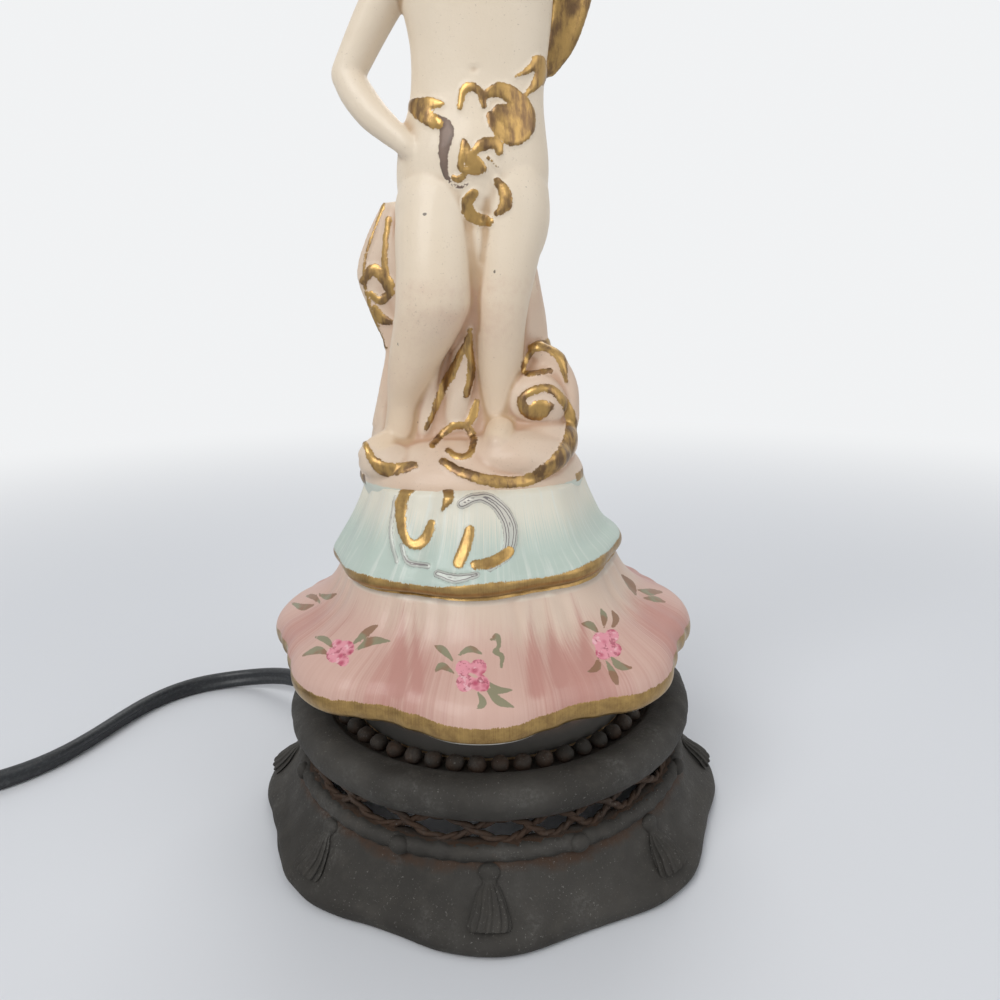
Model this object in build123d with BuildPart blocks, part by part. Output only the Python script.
from build123d import *
import math
import os

# Figural table lamp, in millimetres. +Z is up, -Y is the front, and the origin is on the
# table under the middle of the cast base.

# ---- driving dimensions -------------------------------------------------------------------
LOBES = 8  # scallops of the base and of the porcelain skirt, one of them at the front
LOBE_STEPS = 6  # facets along one scallop
OVAL_STEPS = 14  # facets round a limb or the body

# cast base
PAD_THICKNESS = 1.2
PAD_RADIUS = 4.0
PAD_CIRCLE = 69.5
RIM_RADIUS = 75.0
RIM_WAVE = 2.0
FLANGE_TOP = 17.5
FLANGE_TOP_RADIUS = 63.4
ROPE_RADIUS = 63.6
ROPE_TOP = 22.6
FRIEZE_OUTER = 60.8
FRIEZE_INNER = 58.4
FRIEZE_TOP = 29.6
FRIEZE_EYES = 24
EYE_LENGTH = 13.2
EYE_HEIGHT = 5.4
CUSHION_RADIUS = 65.4
CUSHION_MIDDLE = 35.6
CUSHION_TOP = 40.6
CUSHION_SWELL = 6.4
CUSHION_RISE = 5.4
SEAT_UNDERSIDE = 34.0
SEAT_TOP = 37.0
SEAT_RADIUS = 53.0
CAVITY_RADIUS = 58.2
BEAD_CIRCLE = 49.7
BEAD_COUNT = 50
BEAD_RADIUS = 2.8
TASSEL_TOP = 17.6
TASSEL_FOOT = 4.2

# porcelain
GASKET_THICKNESS = 1.0
FOOT_RADIUS = 45.4
FOOT_INNER = 40.5
SKIRT_RIM = 65.0
SKIRT_RIM_HEIGHT = 57.6
SKIRT_DROOP = 2.1
WAIST_HEIGHT = 79.0
TIER_RIM = 44.6
TIER_RIM_HEIGHT = 85.5
ROCK_BASE = 108.0
CROWN = 283.0  # flat on the hair knot that the brass cap bears on

# stem and its fixings
STEM_RADIUS = 4.9
STEM_BORE = 3.5
STEM_BOTTOM = 21.0
STEM_TOP = 305.0
STEM_HOLE = 5.3
NUT_ACROSS_FLATS = 15.0
CAP_HEIGHT = 6.0
SPACER_HEIGHT = 7.0
LOCK_NUT_HEIGHT = 3.0

# socket
BULB_BORE = 13.3  # radius of the shell for a 26 mm Edison screw
SHELL_WALL = 0.4
SOCKET_RADIUS = 16.4
SOCKET_HEIGHT = 70.0
LINER_WALL = 0.8
SWITCH_DROP = 23.0  # switch axis above the foot of the socket cap
ROTOR_RADIUS = 3.0
RUNNING_GAP = 0.06

# cord, a flat lamp flex: the six-sided tube is as wide as the flex
CORD_RADIUS = 3.5
CORD_SIDES = 6
CORD_TWIST = 30  # turns a flat of the section downwards
CORD_LIE = CORD_RADIUS + 0.1
EXIT_ANGLE = 145.0
EXIT_HEIGHT = 9.5
EXIT_RADIUS = 92.0
COIL_START = 50.0
COIL_PITCH = 2 * CORD_RADIUS + 0.5
COIL_HALF_TURNS = 6
COIL_DIP = 1.5  # the climbing half turn is drawn in by this, clear of the turns beside it
COIL_CENTRE = (-218.0, -63.6)
PLUG_LENGTH = 32.0
PLUG_WIDTH = 24.0
PLUG_THICKNESS = 14.0
BLADE_SPACING = 12.7

os.makedirs("parts", exist_ok=True)


def save(builder, name):
    """Label a finished piece and write it to its own file."""
    builder.part.label = name
    export_step(builder.part, f"parts/{name}.step")


def on_circle(radius, angle, height=0.0):
    """Point at a radius and an angle in degrees from +X."""
    turn = math.radians(angle)
    return (radius * math.cos(turn), radius * math.sin(turn), height)


def scalloped(height, radius, wave, shift=0.0, droop=0.0):
    """Ring of points with a crest at the front and at every lobe; droop lowers its front."""
    steps = LOBE_STEPS * LOBES
    ring = []
    for step in range(steps):
        angle = 360 * step / steps
        reach = radius + wave * math.cos(math.radians(LOBES * angle))
        lowered = droop * max(0.0, -math.sin(math.radians(angle)))
        ring.append(Vector(*on_circle(reach, angle, height - lowered)) + Vector(shift, 0, 0))
    return ring


def oval(centre, half_x, half_y, side=Vector(1, 0, 0), rise=Vector(0, 1, 0)):
    """Ring of points round a centre, level unless its two directions say otherwise."""
    ring = []
    for step in range(OVAL_STEPS):
        turn = 2 * math.pi * step / OVAL_STEPS
        across = side * (half_x * math.cos(turn))
        ring.append(Vector(*centre) + across + rise * (half_y * math.sin(turn)))
    return ring


def carved(rings):
    """Solid of flat facets through closed rings of points, with a flat cap at each end."""
    faces = [Face(Wire.make_polygon(rings[0])), Face(Wire.make_polygon(rings[-1]))]
    for low, high in zip(rings, rings[1:]):
        for here, there in zip(range(-1, len(low) - 1), range(len(low))):
            faces.append(Face(Wire.make_polygon([low[here], low[there], high[there]])))
            faces.append(Face(Wire.make_polygon([low[here], high[there], high[here]])))
    return Solid(Shell(faces))


def half_profile(*corners):
    """Area between (radius, height) corners, to be turned about the lamp's axis."""
    with BuildSketch(Plane.XZ) as area:
        with BuildLine():
            Polyline(*corners, close=True)
        make_face()
    return area.sketch


def tube_profile(inner, outer, low, high):
    """Half section of a plain ring or tube."""
    return half_profile((inner, low), (outer, low), (outer, high), (inner, high))


# ---- cast base ----------------------------------------------------------------------------
# one bead or knob: a hexagonal drum with a chamfered top, so that a long row stays light
def bead(radius):
    with BuildPart() as piece:
        with BuildSketch(Plane.XY.offset(-0.8 * radius)):
            RegularPolygon(radius, 6)
        extrude(amount=1.7 * radius)
        chamfer(piece.faces().sort_by(Axis.Z)[-1].edges(), 0.4 * radius)
    return piece.part


# a tassel lies on the slope of the flange: a knot, a tight neck and a spreading skirt
def tassel():
    top = Vector(FLANGE_TOP_RADIUS + 0.2, 0, TASSEL_TOP)
    foot = Vector(RIM_RADIUS + RIM_WAVE - 2.2, 0, TASSEL_FOOT)
    along = (foot - top).normalized()
    length = (foot - top).length
    outward = along.cross(Vector(0, 1, 0))
    half = ((0, 1.4), (1.4, 2.8), (3.0, 2.8), (4.4, 1.8), (length, 4.6))
    slope = Plane(origin=top - outward * 3, x_dir=along, z_dir=outward)
    with BuildPart() as piece:
        with BuildSketch(slope):
            with BuildLine():
                Polyline(*half, *((x, -y) for x, y in reversed(half)), close=True)
            make_face()
        extrude(amount=5)
        chamfer(piece.faces().sort_by(Axis((0, 0, 0), outward))[-1].edges(), 0.9)
    return piece.part


# the frieze is two ropes that cross: a pointed eye is left between two crossings, and a small
# three-cornered hole above and below each crossing
def eye_cutter():
    middle = (ROPE_TOP + FRIEZE_TOP) / 2
    with BuildPart() as piece:
        with BuildSketch(Plane.YZ.offset(-4)):
            with BuildLine():
                side = [(0.24 * EYE_LENGTH, EYE_HEIGHT / 2), (-0.24 * EYE_LENGTH, EYE_HEIGHT / 2)]
                Polyline(
                    (EYE_LENGTH / 2, middle), *((x, middle + y) for x, y in side),
                    (-EYE_LENGTH / 2, middle), *((-x, middle - y) for x, y in side), close=True,
                )
            make_face()
        extrude(amount=8)
    return piece.part


def corner_cutter():
    low, high = ROPE_TOP + 0.5, FRIEZE_TOP - 0.5
    pitch = 2 * math.pi * FRIEZE_OUTER / FRIEZE_EYES
    middle = (low + high) / 2
    with BuildPart() as piece:
        for edge, tip in ((high, middle + 1.3), (low, middle - 1.3)):
            with BuildSketch(Plane.YZ.offset(-4)):
                with BuildLine():
                    Polyline(
                        (-0.2 * pitch, edge), (0.2 * pitch, edge), (0, tip), close=True
                    )
                make_face()
            extrude(amount=8)
    return piece.part


tassel_solid = tassel()
knob_solid = bead(2.9)
bead_solid = bead(BEAD_RADIUS)
eye_solid = eye_cutter()
corner_solid = corner_cutter()
exit_direction = Vector(*on_circle(1.0, EXIT_ANGLE))

with BuildPart() as base_casting:
    # lobed flange, an ogee from the thick rim to the rope ring
    add(carved([
        scalloped(PAD_THICKNESS, RIM_RADIUS - 1.2, RIM_WAVE),
        scalloped(3.4, RIM_RADIUS, RIM_WAVE),
        scalloped(6.4, RIM_RADIUS - 1.8, 0.9 * RIM_WAVE),
        scalloped(12.6, RIM_RADIUS - 8.6, 0.5 * RIM_WAVE),
        scalloped(FLANGE_TOP, FLANGE_TOP_RADIUS, 0.2 * RIM_WAVE),
    ]))
    # rope ring and frieze wall
    add(carved([
        scalloped(FLANGE_TOP - 1, ROPE_RADIUS - 1.4, 0),
        scalloped(FLANGE_TOP + 1.2, ROPE_RADIUS, 0),
        scalloped(ROPE_TOP - 1.4, ROPE_RADIUS, 0),
        scalloped(ROPE_TOP, ROPE_RADIUS - 1.6, 0),
    ]))
    add(carved([
        scalloped(ROPE_TOP - 1, FRIEZE_OUTER, 0), scalloped(FRIEZE_TOP + 1, FRIEZE_OUTER, 0),
    ]))
    # cushion ring: half round outside, a cove down to the seat inside
    swell = [scalloped(FRIEZE_TOP, FRIEZE_OUTER + 0.8, 0)]
    for lean in (-68, -36, 0, 36, 68):
        across, up = math.cos(math.radians(lean)), math.sin(math.radians(lean))
        swell.append(scalloped(
            CUSHION_MIDDLE + CUSHION_RISE * up, CUSHION_RADIUS - CUSHION_SWELL * (1 - across), 0
        ))
    add(carved(swell))
    add(
        carved([
            scalloped(SEAT_TOP, SEAT_RADIUS, 0), scalloped(CUSHION_TOP - 0.6, SEAT_RADIUS + 0.6, 0),
            scalloped(CUSHION_TOP + 0.4, SEAT_RADIUS + 7, 0),
        ]),
        mode=Mode.SUBTRACT,
    )
    with PolarLocations(0, LOBES):
        add(tassel_solid)
    with PolarLocations(ROPE_RADIUS - 0.6, LOBES, start_angle=180 / LOBES):
        with Locations((0, 0, (FLANGE_TOP + ROPE_TOP) / 2 - 0.4)):
            add(knob_solid)
    with PolarLocations(BEAD_CIRCLE, BEAD_COUNT):
        with Locations((0, 0, SEAT_TOP + 0.75 * BEAD_RADIUS)):
            add(bead_solid)
    # hollow underside
    hollow = ((0, 64.2), (4.5, 64.2), (11, 62.4), (17, CAVITY_RADIUS), (SEAT_UNDERSIDE, CAVITY_RADIUS))
    add(carved([scalloped(height, reach, 0) for height, reach in hollow]), mode=Mode.SUBTRACT)
    # stem hole through the seat
    with BuildSketch(Plane.XY.offset(SEAT_UNDERSIDE)):
        Circle(STEM_HOLE)
    extrude(amount=SEAT_TOP - SEAT_UNDERSIDE, mode=Mode.SUBTRACT)
    # pierced frieze
    with PolarLocations((FRIEZE_INNER + FRIEZE_OUTER) / 2, FRIEZE_EYES):
        add(eye_solid, mode=Mode.SUBTRACT)
    with PolarLocations(
        (FRIEZE_INNER + FRIEZE_OUTER) / 2, FRIEZE_EYES, start_angle=180 / FRIEZE_EYES
    ):
        add(corner_solid, mode=Mode.SUBTRACT)
    # spot face and hole for the cord's strain relief
    with BuildSketch(Plane(origin=on_circle(70.5, EXIT_ANGLE, EXIT_HEIGHT), z_dir=exit_direction)):
        Circle(6.2)
    extrude(amount=12, mode=Mode.SUBTRACT)
    with BuildSketch(Plane(origin=on_circle(58, EXIT_ANGLE, EXIT_HEIGHT), z_dir=exit_direction)):
        Circle(4.05)
    extrude(amount=14, mode=Mode.SUBTRACT)
save(base_casting, "base_casting")
print("base_casting volume", round(base_casting.part.volume))

with BuildPart() as felt_pads:
    with PolarLocations(PAD_CIRCLE, 4, start_angle=45):
        Cylinder(PAD_RADIUS, PAD_THICKNESS, align=(Align.CENTER, Align.CENTER, Align.MIN))
save(felt_pads, "felt_pads")

with BuildPart() as foot_gasket:
    revolve(
        tube_profile(FOOT_INNER, FOOT_RADIUS - 0.3, SEAT_TOP, SEAT_TOP + GASKET_THICKNESS),
        axis=Axis.Z,
    )
save(foot_gasket, "foot_gasket")

# ---- porcelain ----------------------------------------------------------------------------
SKIRT_SHIFT = -1.6  # the throws lean a little to the left of the stem, seen from the front
TIER_SHIFT = -3.6

# level ovals, bottom to top: (height, centre x, centre y, half width, half depth)
ROCK = (
    (104.0, -3.6, -0.5, 33.6, 29.0), (108.5, -4.6, -0.8, 34.0, 29.4),
    (112.5, -5.0, -1.0, 34.2, 29.2), (118.0, -5.0, -1.0, 33.4, 27.6),
    (122.0, -4.8, -0.6, 30.6, 24.6), (124.5, -4.6, 0.0, 24.0, 19.0),
)
DRAPERY = (
    (118.0, -4.6, 3.0, 32.0, 19.0), (127.0, -4.4, 4.0, 31.0, 16.5),
    (137.0, -4.8, 4.0, 29.2, 14.6), (148.0, -5.2, 4.0, 26.8, 13.6),
    (158.0, -7.0, 4.0, 26.2, 13.2), (168.0, -9.2, 4.0, 26.0, 12.8),
    (178.0, -9.0, 4.0, 24.6, 12.2), (188.0, -6.2, 3.6, 22.0, 11.6),
    (198.0, -3.0, 2.0, 18.5, 10.0),
)
TORSO = (
    (184.0, -2.2, -3.2, 19.6, 11.4), (191.0, -2.4, -3.2, 21.0, 12.8),
    (200.0, -2.4, -3.0, 20.8, 13.2), (208.0, -2.2, -3.0, 19.4, 12.4),
    (219.0, -1.2, -3.2, 17.8, 11.0), (230.0, -0.2, -3.6, 18.6, 11.4),
    (240.0, -0.8, -3.8, 20.2, 12.4), (249.0, -0.8, -3.4, 20.6, 11.6),
    (254.5, -0.8, -3.2, 16.6, 9.6), (258.0, -0.8, -3.6, 9.4, 7.6), (262.0, -0.8, -4.4, 6.6, 6.8),
    (267.0, -0.8, -5.0, 6.2, 6.6),
)
BENT_LEG = (
    (120.0, -26.2, -7.0, 5.4, 7.0), (126.0, -25.4, -7.6, 4.9, 6.4), (133.0, -24.6, -8.4, 4.7, 5.6),
    (140.0, -22.6, -9.6, 6.0, 6.8), (148.0, -19.4, -11.0, 8.3, 7.9), (155.0, -16.4, -12.8, 9.8, 8.6),
    (162.0, -14.2, -13.8, 10.6, 9.2), (172.0, -13.8, -11.0, 11.0, 10.6),
    (183.0, -13.6, -7.4, 11.3, 11.6), (193.0, -12.0, -4.6, 10.6, 11.4),
)
STRAIGHT_LEG = (
    (122.0, 4.4, -7.0, 5.4, 7.0), (127.0, 3.8, -7.4, 4.9, 6.2), (132.0, 3.4, -7.2, 4.7, 5.6),
    (139.0, 3.6, -6.8, 5.8, 6.7), (147.0, 3.8, -6.6, 6.8, 7.9), (155.0, 4.0, -7.4, 7.2, 8.2),
    (163.0, 4.6, -8.0, 8.0, 8.8), (173.0, 6.4, -7.0, 9.4, 10.2),
    (183.0, 7.6, -5.4, 10.9, 11.2), (193.0, 7.6, -4.4, 11.0, 11.4),
)
# swelling of the rock that ends in a scroll beside the straight leg, and the ledge at the left
SHELL = (
    (106.0, 5.0, -9.0, 14.0, 14.0), (112.0, 6.6, -9.0, 16.4, 15.4), (118.0, 8.6, -9.0, 16.6, 15.2),
    (124.0, 12.0, -8.0, 14.3, 12.6), (130.0, 14.4, -6.6, 11.3, 10.0), (137.0, 15.6, -5.0, 9.0, 8.0),
    (144.0, 14.6, -3.4, 7.0, 6.4), (150.0, 13.0, -2.0, 3.6, 3.6),
)
LEDGE = (
    (111.6, -28.6, -14.4, 3.6, 3.2), (113.6, -28.6, -14.4, 6.8, 6.2), (117.0, -28.6, -14.4, 8.0, 7.6),
    (120.4, -28.6, -14.4, 6.2, 5.6), (122.0, -28.6, -14.4, 2.6, 2.4),
)
HEAD = (
    (261.6, -0.8, -11.4, 2.8, 2.4), (264.0, -0.8, -10.2, 5.2, 5.4), (268.0, -0.8, -8.8, 7.2, 8.2),
    (273.0, -0.8, -7.8, 8.2, 9.6), (277.5, -0.8, -7.4, 7.8, 9.2), (281.0, -0.8, -7.0, 5.6, 6.8),
    (282.6, -0.8, -6.8, 2.6, 3.4),
)
# slip-cast hollow of the pedestal: (height, radius)
HOLLOW = (
    (SEAT_TOP, FOOT_INNER), (53, FOOT_INNER), (SKIRT_RIM_HEIGHT + 1, 50), (72, 38), (88, 36.5),
    (98, 31), (109, 27.5), (119, 14),
)
# hair at the nape and the knot on the crown, round the stem
HAIR = (
    (249.0, 0, 0, 7.6, 7.6), (258.0, 0, 0, 8.2, 8.2), (263.0, 0, 0, 8.0, 8.0),
    (268.0, 0, 0, 9.8, 9.8), (274.0, 0, 0, 10.8, 10.8), (279.0, 0, 0, 10.4, 10.4),
    (CROWN, 0, 0, 9.6, 9.6),
)
# drapery that falls from the raised arm behind the waist
FALLING_END = (
    (225.0, 18.4, 3.2, 2.0, 1.6), (230.0, 20.0, 3.0, 5.0, 2.4),
    (240.0, 21.6, 2.4, 7.2, 3.0), (253.0, 24.0, 1.0, 8.6, 3.6),
)
SASH = (
    (238.5, -0.8, -3.6, 20.8, 12.9), (242.0, -0.8, -5.0, 22.2, 15.4),
    (247.0, -0.8, -5.2, 22.6, 15.8), (252.0, -0.8, -4.0, 20.6, 12.4),
)
# a limb's stations, end to end: (x, y, z, half width, half height)
UPPER_ARM = (
    (-16.0, -2.8, 255.0, 4.6, 4.8), (-21.6, -2.4, 249.6, 5.8, 6.2), (-28.6, -1.4, 238.6, 5.4, 5.6),
    (-35.6, -0.4, 227.0, 4.8, 5.0), (-38.6, 0.0, 222.0, 3.2, 3.8),
)
FOREARM = (
    (-39.6, 0.4, 226.6, 3.4, 3.6), (-36.4, -1.0, 221.6, 4.8, 4.8), (-31.0, -4.2, 214.4, 4.4, 4.4),
    (-25.4, -7.6, 208.2, 3.6, 3.8), (-19.4, -9.0, 203.4, 3.4, 3.4),
)
RAISED_ARM = (
    (14.0, -2.8, 251.0, 5.0, 5.0), (20.6, -2.8, 251.8, 5.8, 6.0), (28.4, -3.0, 253.2, 5.0, 5.2),
    (35.6, -3.2, 254.6, 4.2, 4.4),
)
RAISED_FOREARM = (
    (35.4, -3.0, 250.8, 3.6, 3.2), (34.0, -4.0, 256.0, 4.8, 4.4), (31.0, -7.0, 264.0, 4.0, 3.8),
    (27.6, -10.4, 272.4, 3.0, 2.8), (25.4, -12.2, 277.4, 3.4, 2.6), (23.8, -13.6, 281.4, 1.8, 1.4),
)
BENT_FOOT = (
    (-23.0, -4.0, 121.4, 4.6, 4.6), (-28.0, -9.4, 122.0, 5.2, 4.6),
    (-33.0, -14.6, 120.0, 5.6, 3.0), (-36.0, -17.8, 118.8, 4.6, 2.0),
)
STRAIGHT_FOOT = (
    (5.6, -3.0, 125.6, 4.6, 4.8), (5.0, -11.0, 126.6, 5.0, 4.8),
    (4.2, -19.0, 124.8, 5.6, 3.2), (3.6, -24.4, 123.8, 4.6, 2.0),
)


def body(stations):
    """Carved form through level ovals: (height, centre x, centre y, half width, half depth)."""
    return carved([oval((x, y, z), wide, deep) for z, x, y, wide, deep in stations])


def pointing(stations):
    """Carved form through ovals square to the line from its first centre to its last."""
    along = (Vector(*stations[-1][:3]) - Vector(*stations[0][:3])).normalized()
    side = along.cross(Vector(0, 0, 1)).normalized()
    rise = side.cross(along)
    return carved([oval((x, y, z), wide, high, side, rise) for x, y, z, wide, high in stations])


with BuildPart() as porcelain_figure:
    # foot and the underside of the skirt
    add(carved([
        scalloped(SEAT_TOP + GASKET_THICKNESS, FOOT_RADIUS, 0), scalloped(50, FOOT_RADIUS + 2.4, 0),
        scalloped(SKIRT_RIM_HEIGHT - 2.6, SKIRT_RIM - 8, 0),
        scalloped(SKIRT_RIM_HEIGHT + 2, SKIRT_RIM - 12, 0),
    ]))
    # scalloped skirt, up to the waist under the tier
    add(carved([
        scalloped(SKIRT_RIM_HEIGHT - 1.2, SKIRT_RIM - 3, 1.4, SKIRT_SHIFT),
        scalloped(SKIRT_RIM_HEIGHT - 0.2, SKIRT_RIM - 0.6, 1.8, SKIRT_SHIFT, SKIRT_DROOP),
        scalloped(SKIRT_RIM_HEIGHT + 2, SKIRT_RIM + 0.4, 2, SKIRT_SHIFT, SKIRT_DROOP),
        scalloped(SKIRT_RIM_HEIGHT + 6.4, SKIRT_RIM - 0.7, 1.9, SKIRT_SHIFT, 0.8 * SKIRT_DROOP),
        scalloped(SKIRT_RIM_HEIGHT + 9.6, SKIRT_RIM - 4.2, 1.8, SKIRT_SHIFT, 0.5 * SKIRT_DROOP),
        scalloped(SKIRT_RIM_HEIGHT + 12.8, SKIRT_RIM - 10, 1.5, 1.2 * SKIRT_SHIFT),
        scalloped(WAIST_HEIGHT - 2.4, SKIRT_RIM - 17.4, 1.1, 1.4 * SKIRT_SHIFT),
        scalloped(WAIST_HEIGHT + 3, SKIRT_RIM - 21.4, 0.8, 1.8 * SKIRT_SHIFT),
        scalloped(TIER_RIM_HEIGHT + 0.5, SKIRT_RIM - 22.4, 0.8, 2 * SKIRT_SHIFT),
    ]))
    # mint tier
    add(carved([
        scalloped(TIER_RIM_HEIGHT, TIER_RIM - 0.6, 1.1, TIER_SHIFT),
        scalloped(TIER_RIM_HEIGHT + 3, TIER_RIM, 1.2, TIER_SHIFT),
        scalloped(TIER_RIM_HEIGHT + 7, TIER_RIM - 2.6, 1.1, TIER_SHIFT),
        scalloped(TIER_RIM_HEIGHT + 14, TIER_RIM - 8.2, 0.9, TIER_SHIFT),
        scalloped(ROCK_BASE, TIER_RIM - 12, 0.6, TIER_SHIFT),
    ]))
    for form in (
        ROCK, SHELL, LEDGE, DRAPERY, TORSO, BENT_LEG, STRAIGHT_LEG, SASH, HEAD, HAIR, FALLING_END
    ):
        add(body(form))
    for form in (BENT_FOOT, STRAIGHT_FOOT, UPPER_ARM, FOREARM, RAISED_ARM, RAISED_FOREARM):
        add(pointing(form))
    # slip-cast hollow, then the narrow passage for the stem
    add(carved([scalloped(height, reach, 0) for height, reach in HOLLOW]), mode=Mode.SUBTRACT)
    with BuildSketch(Plane.XY.offset(112)):
        with Locations((-4, 5.4)):
            SlotOverall(28, 15)
    extrude(amount=80, mode=Mode.SUBTRACT)
    with BuildSketch(Plane.XY.offset(190)):
        with Locations((-1, -2)):
            SlotOverall(24, 13)
    extrude(amount=52, mode=Mode.SUBTRACT)
    with BuildSketch(Plane.XY.offset(100)):
        Circle(STEM_HOLE)
    extrude(amount=CROWN - 100, mode=Mode.SUBTRACT)
save(porcelain_figure, "porcelain_figure")
print("porcelain_figure volume", round(porcelain_figure.part.volume))

# ---- stem and its fixings -----------------------------------------------------------------
WASHER_BOTTOM = SEAT_UNDERSIDE - 1.6
LOCK_WASHER_BOTTOM = WASHER_BOTTOM - 1.4
NUT_BOTTOM = LOCK_WASHER_BOTTOM - 5.0
CAP_TOP = CROWN + CAP_HEIGHT
SPACER_TOP = CAP_TOP + SPACER_HEIGHT
SOCKET_FOOT = SPACER_TOP + LOCK_NUT_HEIGHT
SLIP = 0.1  # radial play of what slides over the stem

with BuildPart() as stem_pipe:
    revolve(tube_profile(STEM_BORE, STEM_RADIUS, STEM_BOTTOM, STEM_TOP), axis=Axis.Z)
    chamfer(stem_pipe.edges().filter_by(GeomType.CIRCLE).sort_by(Axis.Z)[-1], 0.4)
save(stem_pipe, "stem_pipe")

with BuildPart() as seat_washer:
    revolve(tube_profile(STEM_RADIUS + SLIP, 13, WASHER_BOTTOM, SEAT_UNDERSIDE), axis=Axis.Z)
save(seat_washer, "seat_washer")

with BuildPart() as lock_washer:
    revolve(tube_profile(STEM_RADIUS + SLIP, 8.4, LOCK_WASHER_BOTTOM, WASHER_BOTTOM), axis=Axis.Z)
    with BuildSketch(Plane.XY.offset(LOCK_WASHER_BOTTOM)):
        with Locations((6.6, 0)):
            Rectangle(5, 1.2, rotation=20)
    extrude(amount=WASHER_BOTTOM - LOCK_WASHER_BOTTOM, mode=Mode.SUBTRACT)
save(lock_washer, "lock_washer")

with BuildPart() as stem_nut:
    with BuildSketch(Plane.XY.offset(NUT_BOTTOM)):
        RegularPolygon(NUT_ACROSS_FLATS / 2, 6, major_radius=False)
        Circle(STEM_RADIUS, mode=Mode.SUBTRACT)
    extrude(amount=LOCK_WASHER_BOTTOM - NUT_BOTTOM)
save(stem_nut, "stem_nut")

with BuildPart() as crown_cap:
    revolve(
        half_profile(
            (STEM_RADIUS + SLIP, CROWN), (9.2, CROWN), (9.6, CROWN + 1.2), (9.0, CROWN + 2.4),
            (7.4, CROWN + 4.2), (6.8, CAP_TOP), (STEM_RADIUS + SLIP, CAP_TOP),
        ),
        axis=Axis.Z,
    )
save(crown_cap, "crown_cap")

with BuildPart() as spacer_sleeve:
    revolve(
        half_profile(
            (STEM_RADIUS + SLIP, CAP_TOP), (6.6, CAP_TOP), (6.0, CAP_TOP + 1.6),
            (6.0, SPACER_TOP - 1.6), (6.6, SPACER_TOP), (STEM_RADIUS + SLIP, SPACER_TOP),
        ),
        axis=Axis.Z,
    )
save(spacer_sleeve, "spacer_sleeve")

with BuildPart() as lock_nut:
    with BuildSketch(Plane.XY.offset(SPACER_TOP)):
        RegularPolygon(7.6, 12, major_radius=False)
        Circle(STEM_RADIUS, mode=Mode.SUBTRACT)
    extrude(amount=LOCK_NUT_HEIGHT)
save(lock_nut, "lock_nut")

# ---- socket -------------------------------------------------------------------------------
SWITCH_HEIGHT = SOCKET_FOOT + SWITCH_DROP
SHELL_FOOT = SOCKET_FOOT + 11.5
SOCKET_RIM = SOCKET_FOOT + SOCKET_HEIGHT
BODY_FOOT = SOCKET_FOOT + 15.0
BODY_TOP = SWITCH_HEIGHT + 11.0
BODY_RADIUS = 14.6
BULB_FLOOR = BODY_TOP
BULB_WALL_START = BULB_FLOOR + 3.0
BULB_WALL_TOP = BULB_WALL_START + 24.0
LINER_OUTER = SOCKET_RADIUS - SHELL_WALL - 0.1
SWITCH_WINDOW = 3.4

with BuildPart() as socket_cap:
    revolve(
        half_profile(
            (STEM_RADIUS, SOCKET_FOOT), (7.6, SOCKET_FOOT), (7.6, SOCKET_FOOT + 6),
            (15.4, SOCKET_FOOT + 9.4), (17.2, SOCKET_FOOT + 12), (17.2, SOCKET_FOOT + 17),
            (SOCKET_RADIUS + 0.05, SOCKET_FOOT + 17), (SOCKET_RADIUS + 0.05, SHELL_FOOT),
            (STEM_RADIUS, SOCKET_FOOT + 6.6),
        ),
        axis=Axis.Z,
    )
    with BuildSketch(Plane.XZ.offset(STEM_RADIUS - 1)):
        with Locations((0, SOCKET_FOOT + 3)):
            Circle(1.5)
    extrude(amount=5, mode=Mode.SUBTRACT)
save(socket_cap, "socket_cap")

with BuildPart() as set_screw:
    with BuildSketch(Plane.XZ.offset(STEM_RADIUS)):
        with Locations((0, SOCKET_FOOT + 3)):
            Circle(1.48)
    extrude(amount=4.2)
    with BuildSketch(Plane.XZ.offset(STEM_RADIUS + 3.4)):
        with Locations((0, SOCKET_FOOT + 3)):
            Rectangle(3.2, 0.6)
    extrude(amount=1, mode=Mode.SUBTRACT)
save(set_screw, "set_screw")


window_plane = Plane.YZ.offset(BODY_RADIUS - 0.6)

with BuildPart() as socket_shell:
    revolve(
        half_profile(
            (SOCKET_RADIUS - SHELL_WALL, SHELL_FOOT), (SOCKET_RADIUS, SHELL_FOOT),
            (SOCKET_RADIUS, SOCKET_RIM - 2.4), (SOCKET_RADIUS + 0.7, SOCKET_RIM - 1.8),
            (SOCKET_RADIUS + 0.7, SOCKET_RIM - 0.6), (SOCKET_RADIUS, SOCKET_RIM),
            (SOCKET_RADIUS - SHELL_WALL, SOCKET_RIM),
        ),
        axis=Axis.Z,
    )
    with BuildSketch(window_plane):
        with Locations((0, SWITCH_HEIGHT)):
            Circle(SWITCH_WINDOW)
    extrude(amount=5, mode=Mode.SUBTRACT)
save(socket_shell, "socket_shell")

with BuildPart() as insulating_sleeve:
    revolve(
        tube_profile(LINER_OUTER - LINER_WALL, LINER_OUTER, SHELL_FOOT + 1, SOCKET_RIM - 3),
        axis=Axis.Z,
    )
    with BuildSketch(window_plane):
        with Locations((0, SWITCH_HEIGHT)):
            Circle(SWITCH_WINDOW + 0.4)
    extrude(amount=5, mode=Mode.SUBTRACT)
save(insulating_sleeve, "insulating_sleeve")

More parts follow.
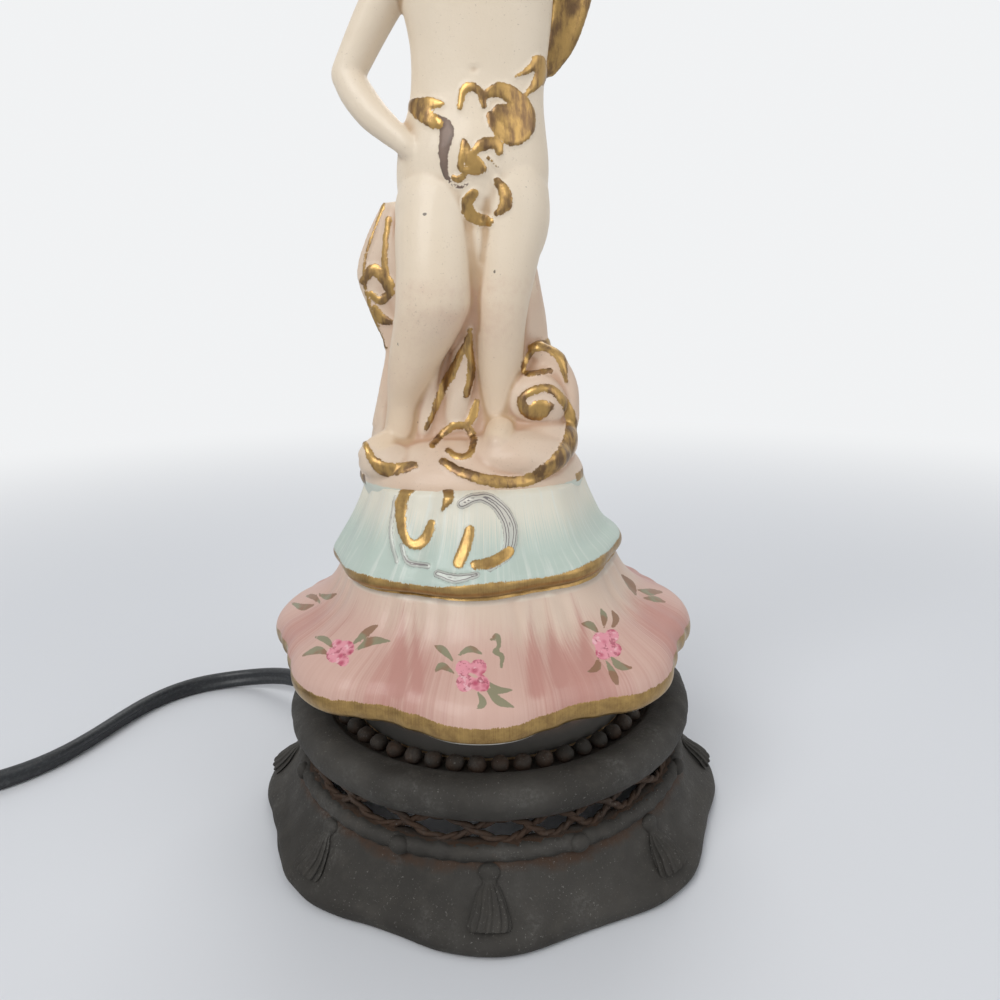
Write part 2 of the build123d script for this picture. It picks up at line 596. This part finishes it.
# moulded body: a drum with a well for the switch rotor and two terminal holes underneath
with BuildPart() as socket_body:
    with BuildSketch(Plane.XY.offset(BODY_FOOT)):
        Circle(BODY_RADIUS)
    extrude(amount=BODY_TOP - BODY_FOOT)
    chamfer(socket_body.faces().sort_by(Axis.Z)[0].edges(), 1.0)
    with BuildSketch(Plane.YZ):
        with Locations((0, SWITCH_HEIGHT)):
            Circle(ROTOR_RADIUS + RUNNING_GAP)
    extrude(amount=BODY_RADIUS + 1, mode=Mode.SUBTRACT)
    with BuildSketch(Plane.XY.offset(BODY_FOOT)):
        with Locations((0, 8.5), (0, -8.5)):
            Circle(1.6)
    extrude(amount=5, mode=Mode.SUBTRACT)
save(socket_body, "socket_body")

with BuildPart() as terminal_screws:
    with BuildSketch(Plane.XY.offset(BODY_FOOT)):
        with Locations((0, 8.5), (0, -8.5)):
            Circle(1.58)
    extrude(amount=4.6)
    with BuildSketch(Plane.XY.offset(BODY_FOOT)):
        with Locations((0, 8.5), (0, -8.5)):
            Circle(3.0)
    extrude(amount=-1.8)
save(terminal_screws, "terminal_screws")

with BuildPart() as screw_shell:
    revolve(
        half_profile(
            (4.6, BULB_FLOOR), (BULB_BORE - 1.2, BULB_FLOOR), (BULB_BORE - 0.8, BULB_FLOOR + 1.4),
            (BULB_BORE + SHELL_WALL, BULB_WALL_START - 0.6),
            (BULB_BORE + SHELL_WALL, BULB_WALL_TOP), (BULB_BORE, BULB_WALL_TOP),
            (BULB_BORE, BULB_WALL_START), (BULB_BORE - 1.4, BULB_FLOOR + 1.6),
            (BULB_BORE - 1.6, BULB_FLOOR + 0.6), (4.6, BULB_FLOOR + 0.6),
        ),
        axis=Axis.Z,
    )
save(screw_shell, "screw_shell")

# spring tongue that presses on the bulb's centre
with BuildPart() as centre_contact:
    with BuildSketch(Plane.XZ.offset(-2)):
        with BuildLine():
            Polyline(
                (-3.6, BULB_FLOOR), (-1.6, BULB_FLOOR), (3.4, BULB_FLOOR + 2.0),
                (3.2, BULB_FLOOR + 2.5), (-1.8, BULB_FLOOR + 0.6), (-3.6, BULB_FLOOR + 0.6),
                close=True,
            )
        make_face()
    extrude(amount=4)
save(centre_contact, "centre_contact")

# ---- switch: a rotor on a stem, turned by a knob on the right ------------------------------
KNOB_START = 19.2
KNOB_LENGTH = 13.0
STEM_SHAFT = 2.2

with BuildPart() as switch_stem:
    with BuildSketch(Plane.YZ.offset(2.5)):
        with Locations((0, SWITCH_HEIGHT)):
            Circle(ROTOR_RADIUS)
    extrude(amount=BODY_RADIUS - 3.2)
    with BuildSketch(Plane.YZ.offset(BODY_RADIUS - 0.7)):
        with Locations((0, SWITCH_HEIGHT)):
            Circle(STEM_SHAFT)
    extrude(amount=KNOB_START + 8 - BODY_RADIUS + 0.7)
save(switch_stem, "switch_stem")

with BuildPart() as turn_knob:
    with BuildSketch(Plane.YZ.offset(KNOB_START)):
        with Locations((0, SWITCH_HEIGHT)):
            RegularPolygon(5.6, 12)
    extrude(amount=3)
    with BuildSketch(Plane.YZ.offset(KNOB_START + 3)):
        with Locations((0, SWITCH_HEIGHT)):
            Rectangle(4.4, 9.6)
    extrude(amount=KNOB_LENGTH - 3)
    chamfer(turn_knob.faces().sort_by(Axis.X)[-1].edges(), 1.0)
    with BuildSketch(Plane.YZ.offset(KNOB_START)):
        with Locations((0, SWITCH_HEIGHT)):
            Circle(STEM_SHAFT + 0.01)
    extrude(amount=8, mode=Mode.SUBTRACT)
save(turn_knob, "turn_knob")

# ---- cord ---------------------------------------------------------------------------------
def rounded_route(points, label):
    """Runs joined by tangent arcs, each as large as its two runs allow."""
    radii = []
    for before, corner, after in zip(points, points[1:], points[2:]):
        first, second = Vector(corner) - Vector(before), Vector(after) - Vector(corner)
        half_turn = math.radians(first.get_angle(second) / 2)
        radii.append(0.45 * min(first.length, second.length) / math.tan(half_turn))
    print(label, "bend radii", [round(radius, 1) for radius in radii])
    return radii


def check_tube(builder, length, section, label):
    """Print the swept volume beside section times length."""
    print(label, "length", round(length, 1), "volume", round(builder.part.volume),
          "section x length", round(section * length))


WALL_OUTER = 70.5
LEAD_RADIUS = 1.15

# strain relief: a neck through the base wall, a collar and a tapered tail
with BuildPart() as strain_relief:
    for start, length, foot, tip in (
        (64.6, WALL_OUTER - 64.6, 4.0, 4.0), (WALL_OUTER, 2.2, 5.8, 5.6),
        (WALL_OUTER + 2.2, EXIT_RADIUS - WALL_OUTER - 2.2, 5.0, CORD_RADIUS + 0.4),
    ):
        with BuildSketch(
            Plane(origin=on_circle(start, EXIT_ANGLE, EXIT_HEIGHT), z_dir=exit_direction)
        ) as near:
            Circle(foot)
        with BuildSketch(
            Plane(origin=on_circle(start + length, EXIT_ANGLE, EXIT_HEIGHT), z_dir=exit_direction)
        ) as far:
            Circle(tip)
        loft(ruled=True)
save(strain_relief, "strain_relief")

# two leads from the strain relief to the stem and up it to the terminals
with BuildPart() as inner_leads:
    for offset in (-1.5, 1.5):
        side = Vector(0, 0, 1).cross(exit_direction) * offset
        start = Vector(*on_circle(64.6, EXIT_ANGLE, EXIT_HEIGHT)) + side
        lead = [
            tuple(start),
            tuple(Vector(*on_circle(14, EXIT_ANGLE, EXIT_HEIGHT)) + side),
            (0.4 * offset, -offset, STEM_BOTTOM - 4), (0, -offset, STEM_BOTTOM + 14),
        ]
        bends = rounded_route(lead, "inner lead")
        with BuildLine() as route:
            FilletPolyline(*lead, radius=bends)
        with BuildSketch(Plane(origin=route.line @ 0, z_dir=route.line % 0)):
            RegularPolygon(LEAD_RADIUS, 6)
        sweep(path=route.line)
        top = [
            (0, -offset, STEM_BOTTOM + 14), (0, -offset, STEM_TOP - 2),
            (0, -2.7 * offset, BODY_FOOT - 4), (0, -2.7 * offset, BODY_FOOT),
        ]
        with BuildLine() as rise:
            Line(top[0], top[1])
        with BuildSketch(Plane(origin=rise.line @ 0, z_dir=rise.line % 0)):
            RegularPolygon(LEAD_RADIUS, 6)
        sweep(path=rise.line)
        with BuildLine() as fork:
            FilletPolyline(*top[1:], radius=3)
        with BuildSketch(Plane(origin=fork.line @ 0, z_dir=fork.line % 0)):
            RegularPolygon(LEAD_RADIUS, 6)
        sweep(path=fork.line)
save(inner_leads, "inner_leads")

# free stretch: out of the strain relief, down to the table, round the back left and away
CORD_ROUTE = [
    on_circle(EXIT_RADIUS, EXIT_ANGLE, EXIT_HEIGHT),
    on_circle(EXIT_RADIUS + 11, EXIT_ANGLE, EXIT_HEIGHT),
    (-93.2, 64.6, 7.6), (-104.0, 69.0, 5.0), (-115.7, 69.4, CORD_LIE),
    (-127.0, 65.5, CORD_LIE), (-136.5, 58.1, CORD_LIE), (-143.4, 48.3, CORD_LIE),
    (-148.3, 36.2, CORD_LIE), (-152.6, 22.9, CORD_LIE), (-158.3, 10.1, CORD_LIE),
    (-167.3, -0.6, CORD_LIE), (-179.2, -8.0, CORD_LIE), (-191.5, -12.2, CORD_LIE),
    (-204.5, -13.6, CORD_LIE), (COIL_CENTRE[0], COIL_CENTRE[1] + COIL_START, CORD_LIE),
]
with BuildPart() as cord_run:
    with BuildLine() as route:
        FilletPolyline(*CORD_ROUTE, radius=rounded_route(CORD_ROUTE, "cord"))
    with BuildSketch(
        Plane(origin=route.line @ 0, x_dir=(0, 0, 1), z_dir=route.line % 0)
    ) as section:
        RegularPolygon(CORD_RADIUS, CORD_SIDES, rotation=CORD_TWIST)
    sweep(path=route.line)
check_tube(cord_run, route.wire().length, section.sketch.area, "cord run")
run_length = route.wire().length
save(cord_run, "cord_run")


# coil: a layer of half turns that winds in, a half turn that climbs, and a layer that winds out
def coil_stations():
    """(radius, angle, height) at the end of every half turn."""
    radii = [COIL_START - COIL_PITCH / 2 * turn for turn in range(COIL_HALF_TURNS)]
    radii.append(radii[-1] - COIL_PITCH / 2 - COIL_DIP)
    stations = []
    for layer, reaches in enumerate((radii, radii[::-1])):
        for reach in reaches:
            angle = 90 + 180 * len(stations)
            stations.append((reach, angle, CORD_LIE + COIL_PITCH * layer))
    return stations


def biarc(start, leaving, end, arriving):
    """Two tangent arcs between two points with given directions."""
    chord, both = end - start, leaving + arriving
    square = both.dot(both) - 4
    slope = -2 * chord.dot(both)
    reach = (-slope - math.sqrt(slope**2 - 4 * square * chord.dot(chord))) / (2 * square)
    middle = (start + leaving * reach + end - arriving * reach) * 0.5
    first = Edge.make_tangent_arc(start, leaving, middle)
    return [first, Edge.make_tangent_arc(middle, first % 1, end)]


coil_edges = []
heading = Vector(-1, 0, 0)
stations = [
    Vector(COIL_CENTRE[0], COIL_CENTRE[1], 0) + Vector(*on_circle(radius, angle, height))
    for radius, angle, height in coil_stations()
]
for here, there in zip(stations, stations[1:]):
    coil_edges += biarc(here, heading, there, -heading)
    heading = -heading
coil_path = Wire(coil_edges)
with BuildPart() as cord_coil:
    with BuildSketch(Plane(origin=coil_path @ 0, x_dir=(0, 0, 1), z_dir=(-1, 0, 0))) as section:
        RegularPolygon(CORD_RADIUS, CORD_SIDES, rotation=CORD_TWIST)
    sweep(path=coil_path)
check_tube(cord_coil, coil_path.length, section.sketch.area, "coil")


def least_gap(path, spacing, near):
    """Smallest distance between turns, less the cord's width, measured on points of the path."""
    count = int(path.length / spacing)
    points = [path @ (index / count) for index in range(count + 1)]
    skip = int(near / spacing)
    least = min(
        (first - second).length
        for index, first in enumerate(points) for second in points[index + skip:]
    )
    return least - 2 * CORD_RADIUS


print("coil least gap", round(least_gap(coil_path, 3.0, 60.0), 2))
save(cord_coil, "cord_coil")

# tail: off the top of the coil and into the plug
coil_end = stations[-1]
PLUG_FOOT = (coil_end.X + 46, coil_end.Y - 3.0, PLUG_THICKNESS / 2)
TAIL_ROUTE = [
    tuple(coil_end), (coil_end.X + 10, coil_end.Y, coil_end.Z),
    (coil_end.X + 23, coil_end.Y - 1.4, coil_end.Z - 1.8),
    (PLUG_FOOT[0] - 12, PLUG_FOOT[1], PLUG_FOOT[2]), PLUG_FOOT,
]
with BuildPart() as cord_tail:
    with BuildLine() as route:
        FilletPolyline(*TAIL_ROUTE, radius=rounded_route(TAIL_ROUTE, "tail"))
    with BuildSketch(
        Plane(origin=route.line @ 0, x_dir=(0, 0, 1), z_dir=route.line % 0)
    ) as section:
        RegularPolygon(CORD_RADIUS, CORD_SIDES, rotation=CORD_TWIST)
    sweep(path=route.line)
check_tube(cord_tail, route.wire().length, section.sketch.area, "tail")
save(cord_tail, "cord_tail")
print("cord in all", round(run_length + coil_path.length + route.wire().length))

# plug: a waisted moulding with two flat blades
with BuildPart() as plug_body:
    levels = ((0, 9, 9), (8, 13, 11), (14, PLUG_WIDTH - 4, PLUG_THICKNESS - 1.4),
              (20, PLUG_WIDTH, PLUG_THICKNESS), (PLUG_LENGTH, PLUG_WIDTH, PLUG_THICKNESS))
    for distance, width, thickness in levels:
        with BuildSketch(Plane.YZ.offset(PLUG_FOOT[0] + distance)):
            with Locations((PLUG_FOOT[1], PLUG_FOOT[2])):
                Rectangle(width, thickness)
    loft(ruled=True)
    chamfer(plug_body.faces().sort_by(Axis.X)[-1].edges(), 1.5)
save(plug_body, "plug_body")

with BuildPart() as plug_blades:
    with BuildSketch(Plane.YZ.offset(PLUG_FOOT[0] + PLUG_LENGTH)):
        for side in (-1, 1):
            with Locations((PLUG_FOOT[1] + side * BLADE_SPACING / 2, PLUG_FOOT[2])):
                Rectangle(1.5, 6.35)
    extrude(amount=16)
save(plug_blades, "plug_blades")
